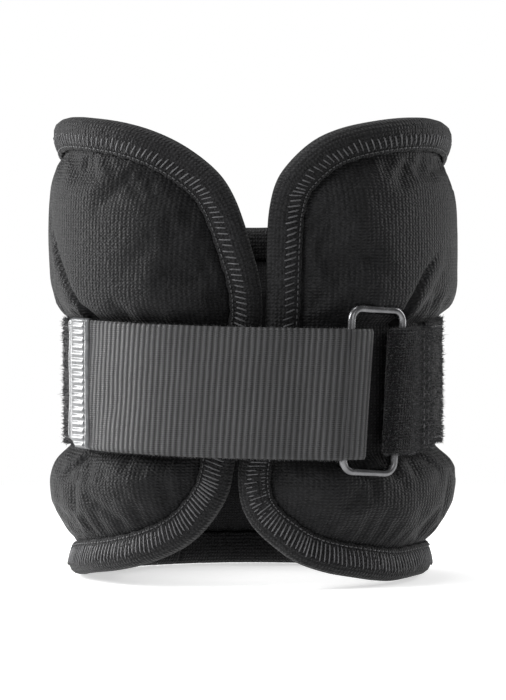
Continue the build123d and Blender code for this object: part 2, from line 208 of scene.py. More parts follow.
def normals(path, side):
    """Unit normals of a flat path, on its left for side 1 and on its right for -1."""
    t = unit(np.gradient(path, axis=0))
    return np.stack([-t[:, 1], t[:, 0]], -1) * side


def smooth_path(path, passes):
    p = path.copy()
    for _ in range(passes):
        p[1:-1] = 0.25 * p[:-2] + 0.5 * p[1:-1] + 0.25 * p[2:]
    return p


def nearest(path, s, z):
    """Distance from points to a path, the side they lie on, and how far along it (0 to 1)."""
    best = np.full(s.shape, 1e9)
    side = np.zeros(s.shape)
    along = np.zeros(s.shape)
    for i, (a, b) in enumerate(zip(path[:-1], path[1:])):
        step = b - a
        t = np.clip(((s - a[0]) * step[0] + (z - a[1]) * step[1]) / (step @ step), 0, 1)
        ds = s - a[0] - t * step[0]
        dz = z - a[1] - t * step[1]
        distance = np.hypot(ds, dz)
        closer = distance < best
        best = np.where(closer, distance, best)
        side = np.where(closer, np.sign(step[0] * dz - step[1] * ds), side)
        along = np.where(closer, (i + t) / (len(path) - 1), along)
    return best, side, along


def z_limits(path, s):
    """Lowest and highest height of a wing outline at arc positions s."""
    tip = int(np.argmax(path[:, 0])) if path[0, 0] < 0 else int(np.argmin(path[:, 0]))
    limits = []
    for half in (path[:tip + 1], path[tip:]):
        order = np.argsort(half[:, 0])
        limits.append(np.interp(s, half[order, 0], half[order, 1]))
    return limits


def noise2(s, z, scale, seed):
    """Smooth value noise on the unrolled panel."""
    lattice = np.random.default_rng(seed).standard_normal((64, 64))
    x, y = np.asarray(s) / scale, np.asarray(z) / scale
    xi, yi = np.floor(x).astype(int), np.floor(y).astype(int)
    fx, fy = x - xi, y - yi
    fx, fy = fx * fx * (3 - 2 * fx), fy * fy * (3 - 2 * fy)

    def value(i, j):
        return lattice[i % 64, j % 64]
    low = value(xi, yi) * (1 - fx) + value(xi + 1, yi) * fx
    high = value(xi, yi + 1) * (1 - fx) + value(xi + 1, yi + 1) * fx
    return low * (1 - fy) + high * fy


def edge_path(points):
    path = resample(catmull(unroll(points)), 2.0)
    path[:, 1] = np.maximum(path[:, 1], 0)
    return path


LEFT_EDGE, RIGHT_EDGE, REAR_LOW_EDGE, REAR_TOP_EDGE = (
    edge_path(points) for points in (LEFT_OUTLINE, RIGHT_OUTLINE, REAR_LOW, REAR_TOP))
# Each bound edge: name, path, the side the panel lies on, body
WING_EDGES = (("left", LEFT_EDGE, 1, "left_wing"), ("right", RIGHT_EDGE, -1, "right_wing"))


# ----------------------------------------------------------------- meshes
def mesh_object(name, verts, faces, uv=None):
    """Smooth-shaded object from millimetre vertices and one UV per vertex."""
    mesh = bpy.data.meshes.new(name)
    mesh.from_pydata((np.asarray(verts, float) * MM).tolist(), [], faces)
    if uv is not None:
        layer = mesh.uv_layers.new(name="UVMap")
        index = np.zeros(len(mesh.loops), np.int32)
        mesh.loops.foreach_get("vertex_index", index)
        values = (np.asarray(uv, float)[index] * UV_PER_MM).astype(np.float32)
        layer.data.foreach_set("uv", values.ravel())
    piece = bpy.data.objects.new(name, mesh)
    bpy.context.scene.collection.objects.link(piece)
    mesh.polygons.foreach_set("use_smooth", [True] * len(mesh.polygons))
    return piece


def fix_normals(piece):
    bm = bmesh.new()
    bm.from_mesh(piece.data)
    bmesh.ops.recalc_face_normals(bm, faces=bm.faces)
    bm.to_mesh(piece.data)
    bm.free()


def fill_holes(piece):
    bm = bmesh.new()
    bm.from_mesh(piece.data)
    bmesh.ops.holes_fill(bm, edges=[e for e in bm.edges if e.is_boundary], sides=0)
    bm.to_mesh(piece.data)
    bm.free()


def tube_faces(rows, sides, ends):
    """Faces over rows of closed loops; ends are "capped", "open" or "joined"."""
    faces = []
    for i in range(rows if ends == "joined" else rows - 1):
        a, b = i * sides, (i + 1) % rows * sides
        for j in range(sides):
            k = (j + 1) % sides
            faces.append((a + j, b + j, b + k, a + k))
    if ends == "capped":
        for i in (0, rows - 1):
            a, z = i * sides, (i + 1) * sides - 1
            for j in range(sides // 2 - 1):
                quad = (a + j, a + j + 1, z - 1 - j, z - j)
                faces.append(quad if i == 0 else quad[::-1])
    return faces


def tube(name, points, uv, ends):
    rows, sides = points.shape[:2]
    faces = tube_faces(rows, sides, ends)
    piece = mesh_object(name, points.reshape(-1, 3), faces, uv.reshape(-1, 2))
    fix_normals(piece)
    return piece


def slab(name, outer, inner, arc, z):
    """Closed sheet between an outer and an inner grid of points."""
    uv = np.stack([arc, z], -1)
    return tube(name, np.concatenate([outer, inner[:, ::-1]], 1),
                np.concatenate([uv, uv[:, ::-1]], 1), "capped")


def curved_slab(name, az, z, r_out, r_in):
    return slab(name, at(az, r_out, z), at(az, r_in, z), arc_at(az), z)


def grid(az, z):
    return np.meshgrid(az, z, indexing="ij")


def threads(name, starts, ends, radius, sides=6):
    """Short threads from starts to ends, arched outwards a little, as one mesh."""
    A = np.asarray(starts, float).reshape(-1, 3)
    B = np.asarray(ends, float).reshape(-1, 3)
    up = unit(A * [1, 1, 0])
    along = unit(B - A)
    across = unit(np.cross(along, up))
    over = np.cross(across, along)
    # station along the thread, share of the radius, lift outwards in mm
    stations = ((0.0, 0.35, -0.25), (0.12, 0.9, 0.05), (0.5, 1.0, 0.16), (0.88, 0.9, 0.05),
                (1.0, 0.35, -0.25))
    angle = np.linspace(0, 2 * math.pi, sides, endpoint=False)
    loops = []
    for t, share, lift in stations:
        centre = A + (B - A) * t + up * lift
        r = share * radius
        loops.append(centre[:, None] + across[:, None] * (np.cos(angle) * r)[None, :, None]
                     + over[:, None] * (np.sin(angle) * r)[None, :, None])
    verts = np.stack(loops, 1).reshape(-1, 3)
    last = (len(stations) - 1) * sides
    faces = []
    for i in range(len(A)):
        first = i * len(stations) * sides
        for a in range(first, first + last, sides):
            for j in range(sides):
                k = (j + 1) % sides
                faces.append((a + j, a + k, a + sides + k, a + sides + j))
        faces.append(tuple(first + j for j in range(sides))[::-1])
        faces.append(tuple(first + last + j for j in range(sides)))
    return mesh_object(name, verts, faces, verts[:, [0, 2]])


def dress(piece, body, finish, *nodes, blend=None):
    """Give a piece its finish and its body; a piece given a blend gets no body and keeps its
    transform baked in.
    """
    material, slot = finish
    piece.data.materials.append(material)
    if blend:
        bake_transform(piece)
    else:
        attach(piece, body)
    if nodes:
        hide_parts(*nodes)


def seam_blend(side, sign, wing_az, rear_az, r):
    """The wing and rear pad bodies with points at the wing's and the rear pad's azimuths, across
    a channel seam.
    """
    ends = (tuple(at(sign * az, r, 50) * MM) for az in (wing_az, rear_az))
    return (f"{side}_wing", "rear_pad", *ends)


# ----------------------------------------------------------------- shader helpers
def fill(made, *by_index, **by_name):
    """Set a node's properties and inputs; a socket given as a value is linked."""
    for key, value in [*enumerate(by_index), *by_name.items()]:
        target = key if isinstance(key, int) else key.replace("_", " ").title()
        if isinstance(value, bpy.types.NodeSocket):
            made.id_data.links.new(value, made.inputs[target])
        elif hasattr(made, str(key)):
            setattr(made, key, value)
        else:
            made.inputs[target].default_value = value


def node(tree, kind, output, *by_index, **by_name):
    """Add a shader node and return one of its outputs."""
    made = tree.nodes.new("ShaderNode" + kind)
    fill(made, *by_index, **by_name)
    return made.outputs[output]


def bands(tree, vector, axis, pitch, **detail):
    """Stripes across a UV axis, pitch in mm."""
    one_mm = 31.416     # wave scale that gives bands 1 mm apart
    return node(tree, "TexWave", "Fac", wave_type="BANDS", bands_direction=axis,
                wave_profile="SIN", vector=vector, scale=one_mm / pitch, **detail)


def noise(tree, vector, scale, **detail):
    return node(tree, "TexNoise", "Fac", vector=vector, scale=scale, **detail)


def math_node(tree, operation, *inputs):
    return node(tree, "Math", 0, *inputs, operation=operation)


def mix_colour(tree, blend_type, first, second):
    return node(tree, "MixRGB", "Color", blend_type=blend_type, fac=1.0,
                color1=first, color2=second)


def map_to(tree, value, low, high):
    return node(tree, "MapRange", "Result", value=value, to_min=low, to_max=high)


def bump(tree, height, strength, distance):
    return node(tree, "Bump", "Normal", height=height, strength=strength, distance=distance)


def grey(value):
    return (value, value, value)


def colour_ramp(tree, value, start, end, from_colour, to_colour):
    colour = node(tree, "ValToRGB", "Color", value)
    first, second = colour.node.color_ramp.elements
    first.position = start
    second.position = end
    first.color = (*from_colour, 1)
    second.color = (*to_colour, 1)
    return colour


def new_material(name, roughness, base, metallic=0.0, sheen=0.0, sheen_roughness=0.4,
                 coat=0.0, specular=0.5):
    material = bpy.data.materials.new(name)
    material.use_nodes = True
    bsdf = material.node_tree.nodes["Principled BSDF"]
    for key, value in (("Base Color", (*base, 1)), ("Roughness", roughness),
                       ("Metallic", metallic), ("Sheen Weight", sheen),
                       ("Sheen Roughness", sheen_roughness), ("Coat Weight", coat),
                       ("Specular IOR Level", specular)):
        bsdf.inputs[key].default_value = value
    return material, material.node_tree, bsdf


# ----------------------------------------------------------------- materials
def knit(name, base, light, wale, course, bump_strength, sheen, roughness, mottle):
    """Knitted cloth: wales and courses (pitches in mm), colour drift, lint and fuzz."""
    material, tree, bsdf = new_material(name, roughness, base, sheen=sheen,
                                        sheen_roughness=0.45, specular=0.12)
    uv = node(tree, "TexCoord", "UV")
    vector = node(tree, "Mapping", "Vector", vector=uv)
    wales = bands(tree, vector, "X", wale, distortion=1.2, detail=2.0, detail_scale=2.0)
    courses = bands(tree, vector, "Y", course, distortion=1.5, detail=2.0)
    cells = node(tree, "TexVoronoi", "Distance", vector=vector,
                 scale=100.0 / (0.5 * (wale + course)) * 1.25)
    stitches = math_node(tree, "ADD", math_node(tree, "MULTIPLY", wales, courses), cells)
    drift = noise(tree, vector, 4.0, detail=6.0)
    fuzz = noise(tree, vector, 260.0, detail=3.0)
    yarn = colour_ramp(tree, stitches, 0.15, 1.15, base, light)
    shade = colour_ramp(tree, drift, 0.3, 0.75, grey(1 - mottle), grey(1.15))
    shaded = mix_colour(tree, "MULTIPLY", yarn, shade)
    lint = colour_ramp(tree, fuzz, 0.72, 0.8, grey(0), (0.05, 0.05, 0.052))
    height = math_node(tree, "ADD", stitches, math_node(tree, "MULTIPLY", fuzz, 0.5))
    fill(bsdf, base_color=mix_colour(tree, "ADD", shaded, lint),
         roughness=map_to(tree, drift, max(roughness - 0.15, 0), min(roughness + 0.1, 1)),
         normal=bump(tree, height, strength=bump_strength, distance=0.00035))
    return material


def elastic():
    """Woven elastic: cross ribs with painted shade in their grooves, fine weft lines and streaks
    along the height.
    """
    material, tree, bsdf = new_material("elastic_webbing", roughness=0.5,
                                        base=(0.03, 0.03, 0.032), sheen=0.05, specular=0.35)
    uv = node(tree, "TexCoord", "UV")
    weft = bands(tree, uv, "Y", 0.6, distortion=0.6)
    stretched = node(tree, "Mapping", "Vector", vector=uv, scale=(1.0, 0.06, 1))
    streaks = noise(tree, stretched, 110, detail=4)
    yarn = colour_ramp(tree, streaks, 0.3, 0.72, (0.020, 0.020, 0.0212), (0.040, 0.040, 0.042))
    ribs = bands(tree, uv, "X", 1.75, distortion=0.35, detail=1.0)
    # painted shade and light: the colour darkens in the grooves between the cross ribs and
    # brightens on their crests
    shade = colour_ramp(tree, ribs, 0.1, 0.8, grey(0.22), grey(1.25))
    height = math_node(tree, "MULTIPLY_ADD", weft, 0.35, ribs)
    fill(bsdf, base_color=mix_colour(tree, "MULTIPLY", yarn, shade),
         normal=bump(tree, height, strength=0.7, distance=0.0004),
         roughness=map_to(tree, streaks, 0.45, 0.7))
    return material


def thread(name, colour, roughness=0.5):
    material, tree, bsdf = new_material(name, roughness, colour, sheen=0.2)
    grain = noise(tree, node(tree, "TexCoord", "Object"), 900)
    dark, light = (tuple(x * k for x in colour) for k in (0.55, 1.4))
    fill(bsdf, base_color=colour_ramp(tree, grain, 0.3, 0.7, dark, light),
         normal=bump(tree, grain, strength=0.4, distance=0.0001))
    return material


def tab_film():
    material, tree, bsdf = new_material("tab_film", roughness=0.28, base=(0.42, 0.43, 0.44),
                                        coat=0.2)
    grain = noise(tree, node(tree, "TexCoord", "UV"), 45, detail=5)
    dark, light = (0.05, 0.052, 0.055), (0.12, 0.123, 0.127)
    fill(bsdf, base_color=colour_ramp(tree, grain, 0.3, 0.75, dark, light),
         roughness=map_to(tree, grain, 0.18, 0.45),
         normal=bump(tree, grain, strength=0.3, distance=0.0002))
    return material


def metal(name, colour, roughness):
    material, tree, bsdf = new_material(name, roughness, colour, metallic=1.0)
    grain = noise(tree, node(tree, "TexCoord", "Object"), 350, detail=6)
    dark = tuple(x * 0.75 for x in colour)
    light = tuple(min(x * 1.3, 1) for x in colour)
    fill(bsdf, roughness=map_to(tree, grain, roughness * 0.7, roughness * 1.6),
         base_color=colour_ramp(tree, grain, 0.35, 0.8, dark, light),
         normal=bump(tree, grain, strength=0.12, distance=0.0001))
    return material


# A finish is a material and the slot it fills.
JERSEY = (knit("neoprene_jersey", base=(0.0022, 0.0022, 0.0025),
               light=(0.0085, 0.0085, 0.0092), wale=1.2, course=0.9, bump_strength=0.8,
               sheen=0.045, roughness=0.62, mottle=0.35), "neoprene")
LINING = (knit("lining_knit", base=(0.004, 0.004, 0.0044), light=(0.012, 0.012, 0.0128),
               wale=1.0, course=0.8, bump_strength=0.7, sheen=0.05, roughness=0.8,
               mottle=0.3), "lining_knit")
BINDING = (knit("binding_knit", base=(0.0028, 0.0028, 0.0031), light=(0.014, 0.014, 0.0148),
                wale=1.05, course=1.05, bump_strength=0.9, sheen=0.055, roughness=0.7,
                mottle=0.35), "binding_knit")
POUCH_CLOTH = knit("pouch_cloth", base=(0.28, 0.28, 0.26), light=(0.4, 0.4, 0.38), wale=1.0,
                   course=1.0, bump_strength=0.6, sheen=0.1, roughness=0.9, mottle=0.3)
LOOP = (knit("loop_pile", base=(0.0035, 0.0035, 0.004), light=(0.011, 0.011, 0.012),
             wale=0.9, course=0.7, bump_strength=1.0, sheen=0.12, roughness=0.95,
             mottle=0.4), "loop_pile")
ELASTIC = (elastic(), "elastic_webbing")
THREAD = (thread("thread_black", (0.050, 0.050, 0.053)), "thread_black")
DARK_THREAD = (thread("thread_dark", (0.03, 0.03, 0.032)), "thread_black")
TAB_FILM = (tab_film(), "tab_film")
RING_METAL = (metal("ring_metal", (0.16, 0.16, 0.165), 0.22), "ring_metal")
STEEL_SHOT = metal("steel_shot", (0.3, 0.3, 0.31), 0.4)
HOOK = (thread("hook_plastic", (0.03, 0.03, 0.03), 0.5), "hook_plastic")
FIBRE = (thread("pile_fibre", (0.024, 0.024, 0.026), 0.7), "loop_pile")


# ----------------------------------------------------------------- pockets
# Fold lines: (azimuth, height) points, groove depth, groove width, lip height, lip side
CREASES = {
    "left": [([(-79, 104), (-73, 97), (-66, 90), (-59, 83.5), (-55.5, 77)], 2.3, 1.15, 1.1, -1),
             ([(-72, 30), (-64, 35), (-57, 40)], 1.3, 1.0, 0.6, 1)],
    "right": [([(66, 99), (59, 93.5), (54, 88), (50.3, 82.5), (48.5, 77)], 2.1, 1.1, 1.0, 1),
              ([(70, 31), (62, 36), (56, 40.5)], 1.1, 1.0, 0.5, -1)],
    "rear": [],
}


def crease(s, z, points, depth, width, lip, side):
    """A groove along the points with a raised lip on one side, fading in at its start."""
    distance, turn, along = nearest(resample(catmull(unroll(points), 6), 1.5), s, z)
    x = distance * turn * side
    shape = -depth * gauss(x, width) + lip * gauss(x - 2.6 * width, 1.9 * width)
    return shape * np.clip(along / 0.25, 0, 1)


def swelling(d, grow, power):
    """0 under the binding, rising to 1 over the distance grow from it."""
    return 1 - (1 - np.clip((d - TAPE_WIDTH + 0.6) / grow, 0, 1)) ** power


def outer_radius(az, z, d, grow, seed):
    """Cover surface; d is the distance from the pocket's edge."""
    from_strap = np.abs(z - Z_STRAP)
    lobe = 1 - (1 - np.clip((from_strap - 18.8) / 12.5, 0, 1)) ** 2.1
    full = R_WAIST - 0.2 + (R_LOBE - R_WAIST + 0.2) * lobe
    full = full - np.where(np.abs(az) > SEAM_AZ, 1.0, 0.0)
    base = mid_radius(az, z) + HALF_GAP + COVER_THICK
    r = base + np.maximum(full - base, 0) * swelling(d, grow, 2.4)
    s = arc_at(az)
    clear_of_edge = bell(d, 9, 18)
    clear_of_strap = bell(from_strap, 19, 23)
    # broad and fine unevenness of the cloth
    lumps = 0.34 * noise2(s, z, 15, seed) + 0.18 * noise2(s, z, 7, seed + 1)
    r += clear_of_edge * clear_of_strap * lumps
    # gathers along the bound edge
    gathers = np.sin(s * 1.15 + 3 * noise2(s, z, 9, seed + 2))
    r += 0.20 * gauss(d - 12.5, 3.2) * gathers * clear_of_strap
    # puckers beside the strap
    puckers = np.sin(s * 0.62 + 2.2 * noise2(s, z, 12, seed + 3))
    r += 0.35 * gauss(from_strap - 22.5, 3.0) * puckers * clear_of_edge
    return r


def inner_radius(az, z, d, grow, seed):
    """Lining surface; it opens out towards the top and base."""
    from_strap = np.abs(z - Z_STRAP)
    full = R_INSIDE + 7.0 * bell(from_strap, 22, 80)
    base = mid_radius(az, z) - HALF_GAP - LINING_THICK
    r = base + (full - base) * swelling(d, grow, 2.3)
    lumps = 0.25 * noise2(arc_at(az), z, 13, seed)
    return r + bell(d, 10, 20) * lumps * bell(from_strap, 18, 26)


def simulate_bag(name, outer, inner, pin):
    """Inflate the closed bag of both grids and return their displacements in mm."""
    frames, most = 20, 2.4      # most: largest displacement kept, mm
    rows, columns = outer.shape[:2]
    sides = 2 * columns
    points = np.concatenate([outer, inner[:, ::-1]], 1).reshape(-1, 3)
    bag = mesh_object(name, points, tube_faces(rows, sides, "capped"))
    fix_normals(bag)
    group = bag.vertex_groups.new(name="pin")
    for i, weight in enumerate(np.concatenate([pin, pin[:, ::-1]], 1).ravel()):
        if weight > 0.02:
            group.add([i], float(weight), "REPLACE")
    cloth = bag.modifiers.new("cloth", "CLOTH")
    settings = cloth.settings
    settings.quality = 4
    settings.mass = 0.25
    settings.use_pressure = True
    settings.uniform_pressure_force = 4.0
    settings.tension_stiffness = 12
    settings.compression_stiffness = 8
    settings.shear_stiffness = 6
    settings.bending_stiffness = 1.2
    settings.shrink_min = -0.045
    settings.shrink_max = -0.045
    settings.vertex_group_mass = "pin"
    settings.pin_stiffness = 3.0
    settings.effector_weights.gravity = 0
    cloth.collision_settings.use_collision = False
    cloth.collision_settings.use_self_collision = False
    cloth.point_cache.frame_start = 1
    cloth.point_cache.frame_end = frames
    scene = bpy.context.scene
    for f in range(1, frames + 1):
        scene.frame_set(f)
    settled = bag.evaluated_get(bpy.context.evaluated_depsgraph_get())
    co = np.zeros(len(points) * 3, np.float32)
    settled.data.vertices.foreach_get("co", co)
    scene.frame_set(1)
    moved = (co.reshape(-1, 3) - points * MM).reshape(rows, sides, 3) / MM
    bpy.data.objects.remove(bag)
    size = np.linalg.norm(moved, axis=2, keepdims=True)
    moved = moved * np.minimum(1.0, most / np.maximum(size, 1e-6))
    # a simulation that blows up leaves the bag as it was
    if not np.isfinite(moved).all():
        moved = np.zeros_like(moved)
    return moved[:, :columns], moved[:, columns:][:, ::-1]


def upsample(coarse, rows, columns):
    a, b = coarse.shape[:2]
    x, y = np.linspace(0, a - 1, rows), np.linspace(0, b - 1, columns)
    i = np.minimum(np.floor(x).astype(int), a - 2)
    j = np.minimum(np.floor(y).astype(int), b - 2)
    fx, fy = (x - i)[:, None, None], (y - j)[None, :, None]

    def corner(di, dj):
        return coarse[np.ix_(i + di, j + dj)]
    return (corner(0, 0) * (1 - fx) * (1 - fy) + corner(1, 0) * fx * (1 - fy)
            + corner(0, 1) * (1 - fx) * fy + corner(1, 1) * fx * fy)


def rear_span(rows):
    """Arc stations of the rear pocket with their height limits, edges and seams."""
    start, end = arc_at(150.0), arc_at(210.0)
    s = start + (end - start) * np.linspace(0, 1, rows)
    top = np.interp(s, REAR_TOP_EDGE[::-1, 0], REAR_TOP_EDGE[::-1, 1]) - 2.4
    return s, np.full(rows, 2.2), top, [REAR_LOW_EDGE, REAR_TOP_EDGE], [start, end]


def wing_span(name, rows):
    """The same for a wing, with stations crowded towards its front tip."""
    left = name == "left"
    path = LEFT_EDGE if left else RIGHT_EDGE
    inset = path + normals(path, 1 if left else -1) * 2.4
    tip = inset[:, 0].max() if left else inset[:, 0].min()
    seam = arc_at(-149.4 if left else 149.4)
    s = tip + (seam - tip) * (0.0015 + 0.9985 * np.linspace(0, 1, rows) ** 1.75)
    low, top = z_limits(inset, s)
    return s, low, top, [path], [seam]


def inflate(name, outer, inner, z, d):
    """Add the simulated swelling, away from the edge and the strap."""
    rows, columns = z.shape
    coarse = np.ix_(np.linspace(0, rows - 1, 56).round().astype(int),
                    np.linspace(0, columns - 1, 46).round().astype(int))
    pin = np.maximum(1 - bell(d[coarse], 9.5, 13.0),
                     1 - bell(np.abs(z[coarse] - Z_STRAP), 18.5, 22.0))
    moved = simulate_bag("sim_" + name, outer[coarse], inner[coarse], pin)
    out_move, in_move = (upsample(m, rows, columns) for m in moved)
    keep = (bell(d, 9, 14) * bell(np.abs(z - Z_STRAP), 18.5, 21.5))[..., None]
    outer = outer + out_move * keep * 0.85
    inner = inner + in_move * keep * 0.3
    # ease radii beyond soft towards soft + give
    soft, give = 58.8, 2.6
    r = np.hypot(outer[..., 0], outer[..., 1])
    eased = (soft + give * np.tanh((r - soft) / give)) / np.maximum(r, 1e-6)
    outer[..., :2] *= np.where(r > soft, eased, 1.0)[..., None]
    return outer, inner


def pocket(name, body, seed, rows=170, columns=150):
    """Cover and lining of one filled pocket."""
    rear = name == "rear"
    s, low, top, edges, seams = rear_span(rows) if rear else wing_span(name, rows)
    grow = 16.0 if rear else 23.0
    v = np.linspace(0, 1, columns)
    v = 0.35 * v + 0.65 * (0.5 - 0.5 * np.cos(math.pi * v))
    z = low[:, None] + (top - low)[:, None] * v[None, :]
    s = np.repeat(s[:, None], columns, 1)
    az = s / (DEG * R_UNROLL)
    d = np.full(s.shape, 1e9)
    for path in edges:
        d = np.minimum(d, nearest(path, s, z)[0])
    for seam in seams:
        d = np.minimum(d, np.abs(s - seam) + 5.5)
    r = outer_radius(az, z, d, grow, seed)
    for fold_line in CREASES[name]:
        r = r + crease(s, z, *fold_line) * bell(d, 9, 14)
    outer = at(az, r, z)
    inner = at(az, inner_radius(az, z, d, grow + 2, seed + 9), z)
    outer, inner = inflate(name, outer, inner, z, d)
    radial = at(az, 1, 0)
    cover = slab(f"{name}_cover_fabric", outer, outer - radial * COVER_THICK, s, z)
    dress(cover, body, JERSEY, f"{name}_cover")
    lining = slab(f"{name}_lining_fabric", inner + radial * LINING_THICK, inner, s, z)
    dress(lining, body, LINING, f"{name}_lining")


pocket("left", "left_wing", 11)
pocket("right", "right_wing", 23)
pocket("rear", "rear_pad", 37, rows=90, columns=130)

for side in ("left", "right", "rear"):
    for part, material in (("shot_pouch", POUCH_CLOTH), ("steel_shot", STEEL_SHOT)):
        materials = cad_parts[f"{side}_{part}"].data.materials
        materials.clear()
        materials.append(material)


# ----------------------------------------------------------------- binding
# Half section of the folded tape in (distance in from the edge, height off the middle surface)
TAPE_HALF = [(9.5, 3.3), (9.75, 3.9), (9.3, 4.45), (8.0, 4.75), (6.3, 4.95), (4.4, 4.95),
             (2.7, 4.55), (1.3, 3.7), (0.35, 2.3), (0.0, 0.8)]
TAPE_INSIDE = [(9.5, -3.2), (1.6, -3.2), (1.6, 3.2)]
TAPE_SECTION = np.array(TAPE_HALF + [(k, -h) for k, h in TAPE_HALF[::-1]] + TAPE_INSIDE)
LEG_HEIGHT = 3.25   # section points further out than this are the tape's visible faces


def binding(name, path, side, body, nodes, seed, scale=1.0, blend=None):
    p = smooth_path(resample(path, 0.9), 3)
    n = normals(p, side)
    for i in (0, -1):
        n[i] = (0, 1 if n[i][1] > 0 else -1)
    arc = arc_length(p)
    inset, height = (np.tile(column, (len(p), 1)) for column in TAPE_SECTION.T)
    height = height * scale
    phase = np.cumsum(np.random.default_rng(seed).normal(0, 0.18, len(p)))
    # long waves and a fine ripple, strongest along the middle of the tape
    lumps = (0.22 * np.sin(arc / 11 + phase)
             + 0.10 * np.sin(arc * 2 * math.pi / 2.9 + 2 * phase))[:, None]
    middle = np.clip(1 - np.abs(inset - 5) / 6, 0, 1)
    height = height + np.sign(height) * (np.abs(height) > LEG_HEIGHT) * lumps * middle
    # wandering inner edge
    wander = 0.15 * np.sin(arc * 2 * math.pi / 6.3 + phase)[:, None]
    inset = inset + wander * (inset > 8)
    # the tape is held down by its stitches
    held = 0.35 * gauss(inset - 7.6, 1.1) * (np.abs(height) > LEG_HEIGHT)
    height = height - np.sign(height) * held
    s = p[:, 0][:, None] + n[:, 0][:, None] * inset
    z = np.maximum(p[:, 1][:, None] + n[:, 1][:, None] * inset, 0.0)
    # the inner face is laid 30 mm away in UV
    uv = np.stack([np.repeat(arc[:, None], inset.shape[1], 1),
                   inset + np.where(height > 0, 0, 30)], -1)
    tape = tube(name, on_panel(s, z, height), uv, "open")
    fill_holes(tape)
    dress(tape, body, BINDING, *nodes, blend=blend)


def edge_sampler(path, side):
    """Length of an edge, and a function giving points and normals at distances along it."""
    p = smooth_path(resample(path, 0.45), 4)
    n = normals(p, side)
    arc = arc_length(p)
    return arc[-1], lambda x: (interp_rows(x, arc, p), interp_rows(x, arc, n))


STITCH_TRIM = 2.0   # bare length at each end of an edge


def edge_stitches(name, path, side, body, *nodes, seed):
    """Slanting stitches across the outer face of the tape, closer and longer low down."""
    length, edge_at = edge_sampler(path, side)
    rng = np.random.default_rng(seed)
    starts, ends = [], []
    along = STITCH_TRIM
    while along < length - STITCH_TRIM:
        low = edge_at(along)[0][1] < 40
        pitch, near, far, slant = (1.45, 2.9, 8.3, 0.9) if low else (1.85, 4.6, 8.0, 1.3)
        near += rng.normal(0, 0.25)
        far += rng.normal(0, 0.2)
        for points, inset, shift, height in ((starts, near, -slant / 2, 5.08),
                                             (ends, far, slant / 2, 4.45)):
            point, normal = edge_at(along + shift)
            points.append(on_panel(*(point + unit(normal) * inset), height))
        along += pitch * (1 + rng.normal(0, 0.05))
    dress(threads(name, starts, ends, 0.24), body, THREAD, *nodes)


def running_seam(name, path, side, body, inset, height, pitch, stitch, radius):
    """A row of stitches along an edge."""
    length, edge_at = edge_sampler(path, side)
    along = np.arange(STITCH_TRIM, length - STITCH_TRIM, pitch)
    ends = []
    for shift in (0, stitch):
        point, normal = edge_at(along + shift)
        place = point + normal * inset
        ends.append(on_panel(place[:, 0], place[:, 1], height))
    dress(threads(name, *ends, radius), body, DARK_THREAD)


def channel_stitches(side, seam_az, sign):
    """Two sunk upright rows beside a channel seam, on the rear pad."""
    z = np.arange(11.5, 94, 2.6)
    s = arc_at(seam_az) + sign * np.array([[1.2], [2.8]])
    height = COVER_THICK + HALF_GAP + 0.15
    rows = threads(f"{side}_channel_stitches", on_panel(s, z, height),
                   on_panel(s, z + 1.9, height), 0.24)
    dress(rows, "rear_pad", THREAD, f"{side}_channel_stitching")


def channel_cloth(side, sign):
    """Thin web of cloth between a wing and the rear pocket."""
    az, z = grid(sign * np.linspace(146.6, 152.6, 13), np.linspace(9.6, 96.5, 40))
    half = 1.2 + 0.25 * np.cos((np.abs(az) - 149.6) / 3.0 * math.pi)
    middle = mid_radius(az, z)
    web = curved_slab(f"{side}_channel_cloth", az, z, middle + half + 1.0, middle - half - 0.6)
    dress(web, None, JERSEY, blend=seam_blend(side, sign, 147.0, 152.2, 48))


def binding_bridges(side, sign):
    """Short lengths of binding across a channel seam."""
    low = [(sign * a, 0.18) for a in (147.6, 148.6, 149.6, 150.6, 151.6)]
    top = [(sign * a, z) for a, z in ((147.6, 109.1), (148.6, 108.5), (149.5, 107.3),
                                      (150.4, 106.1), (151.6, 105.9))]
    # base runs towards larger azimuths and top towards smaller, so the panel is on the left
    if sign < 0:
        low = low[::-1]
    else:
        top = top[::-1]
    blend = seam_blend(side, sign, 148.3, 150.9, 48)
    for level, points, seed in (("low", low, 61), ("top", top, 62)):
        binding(f"{side}_binding_bridge_{level}", unroll(points), 1, None, [], seed,
                scale=0.95, blend=blend)


for (side, path, face, body), seed in zip(WING_EDGES, (3, 4)):
    binding(f"{side}_binding_tape", path, face, body, [f"{side}_binding"], seed)
binding("rear_binding_tape_low", REAR_LOW_EDGE, 1, "rear_pad", ["rear_binding_bottom"], 5)
binding("rear_binding_tape_top", REAR_TOP_EDGE, 1, "rear_pad", ["rear_binding_top"], 6)

for (side, path, face, body), seed in zip(WING_EDGES, (51, 52)):
    edge_stitches(f"{side}_binding_stitches", path, face, body, f"{side}_binding_thread",
                  seed=seed)
edge_stitches("rear_binding_stitches_low", REAR_LOW_EDGE, 1, "rear_pad",
              "rear_binding_thread", seed=53)
edge_stitches("rear_binding_stitches_top", REAR_TOP_EDGE, 1, "rear_pad", seed=54)

for side, *edge in WING_EDGES:
    running_seam(f"{side}_binding_inner_seam", *edge, inset=8.2, height=-4.62, pitch=2.2,
                 stitch=1.5, radius=0.2)
    running_seam(f"{side}_binding_outer_seam", *edge, inset=8.7, height=4.55, pitch=1.7,
                 stitch=1.2, radius=0.17)

channel_stitches("left", 209.9, -1)
channel_stitches("right", 150.1, 1)
for side, sign in SIDES:
    channel_cloth(side, sign)
for side, sign in SIDES:
    binding_bridges(side, sign)


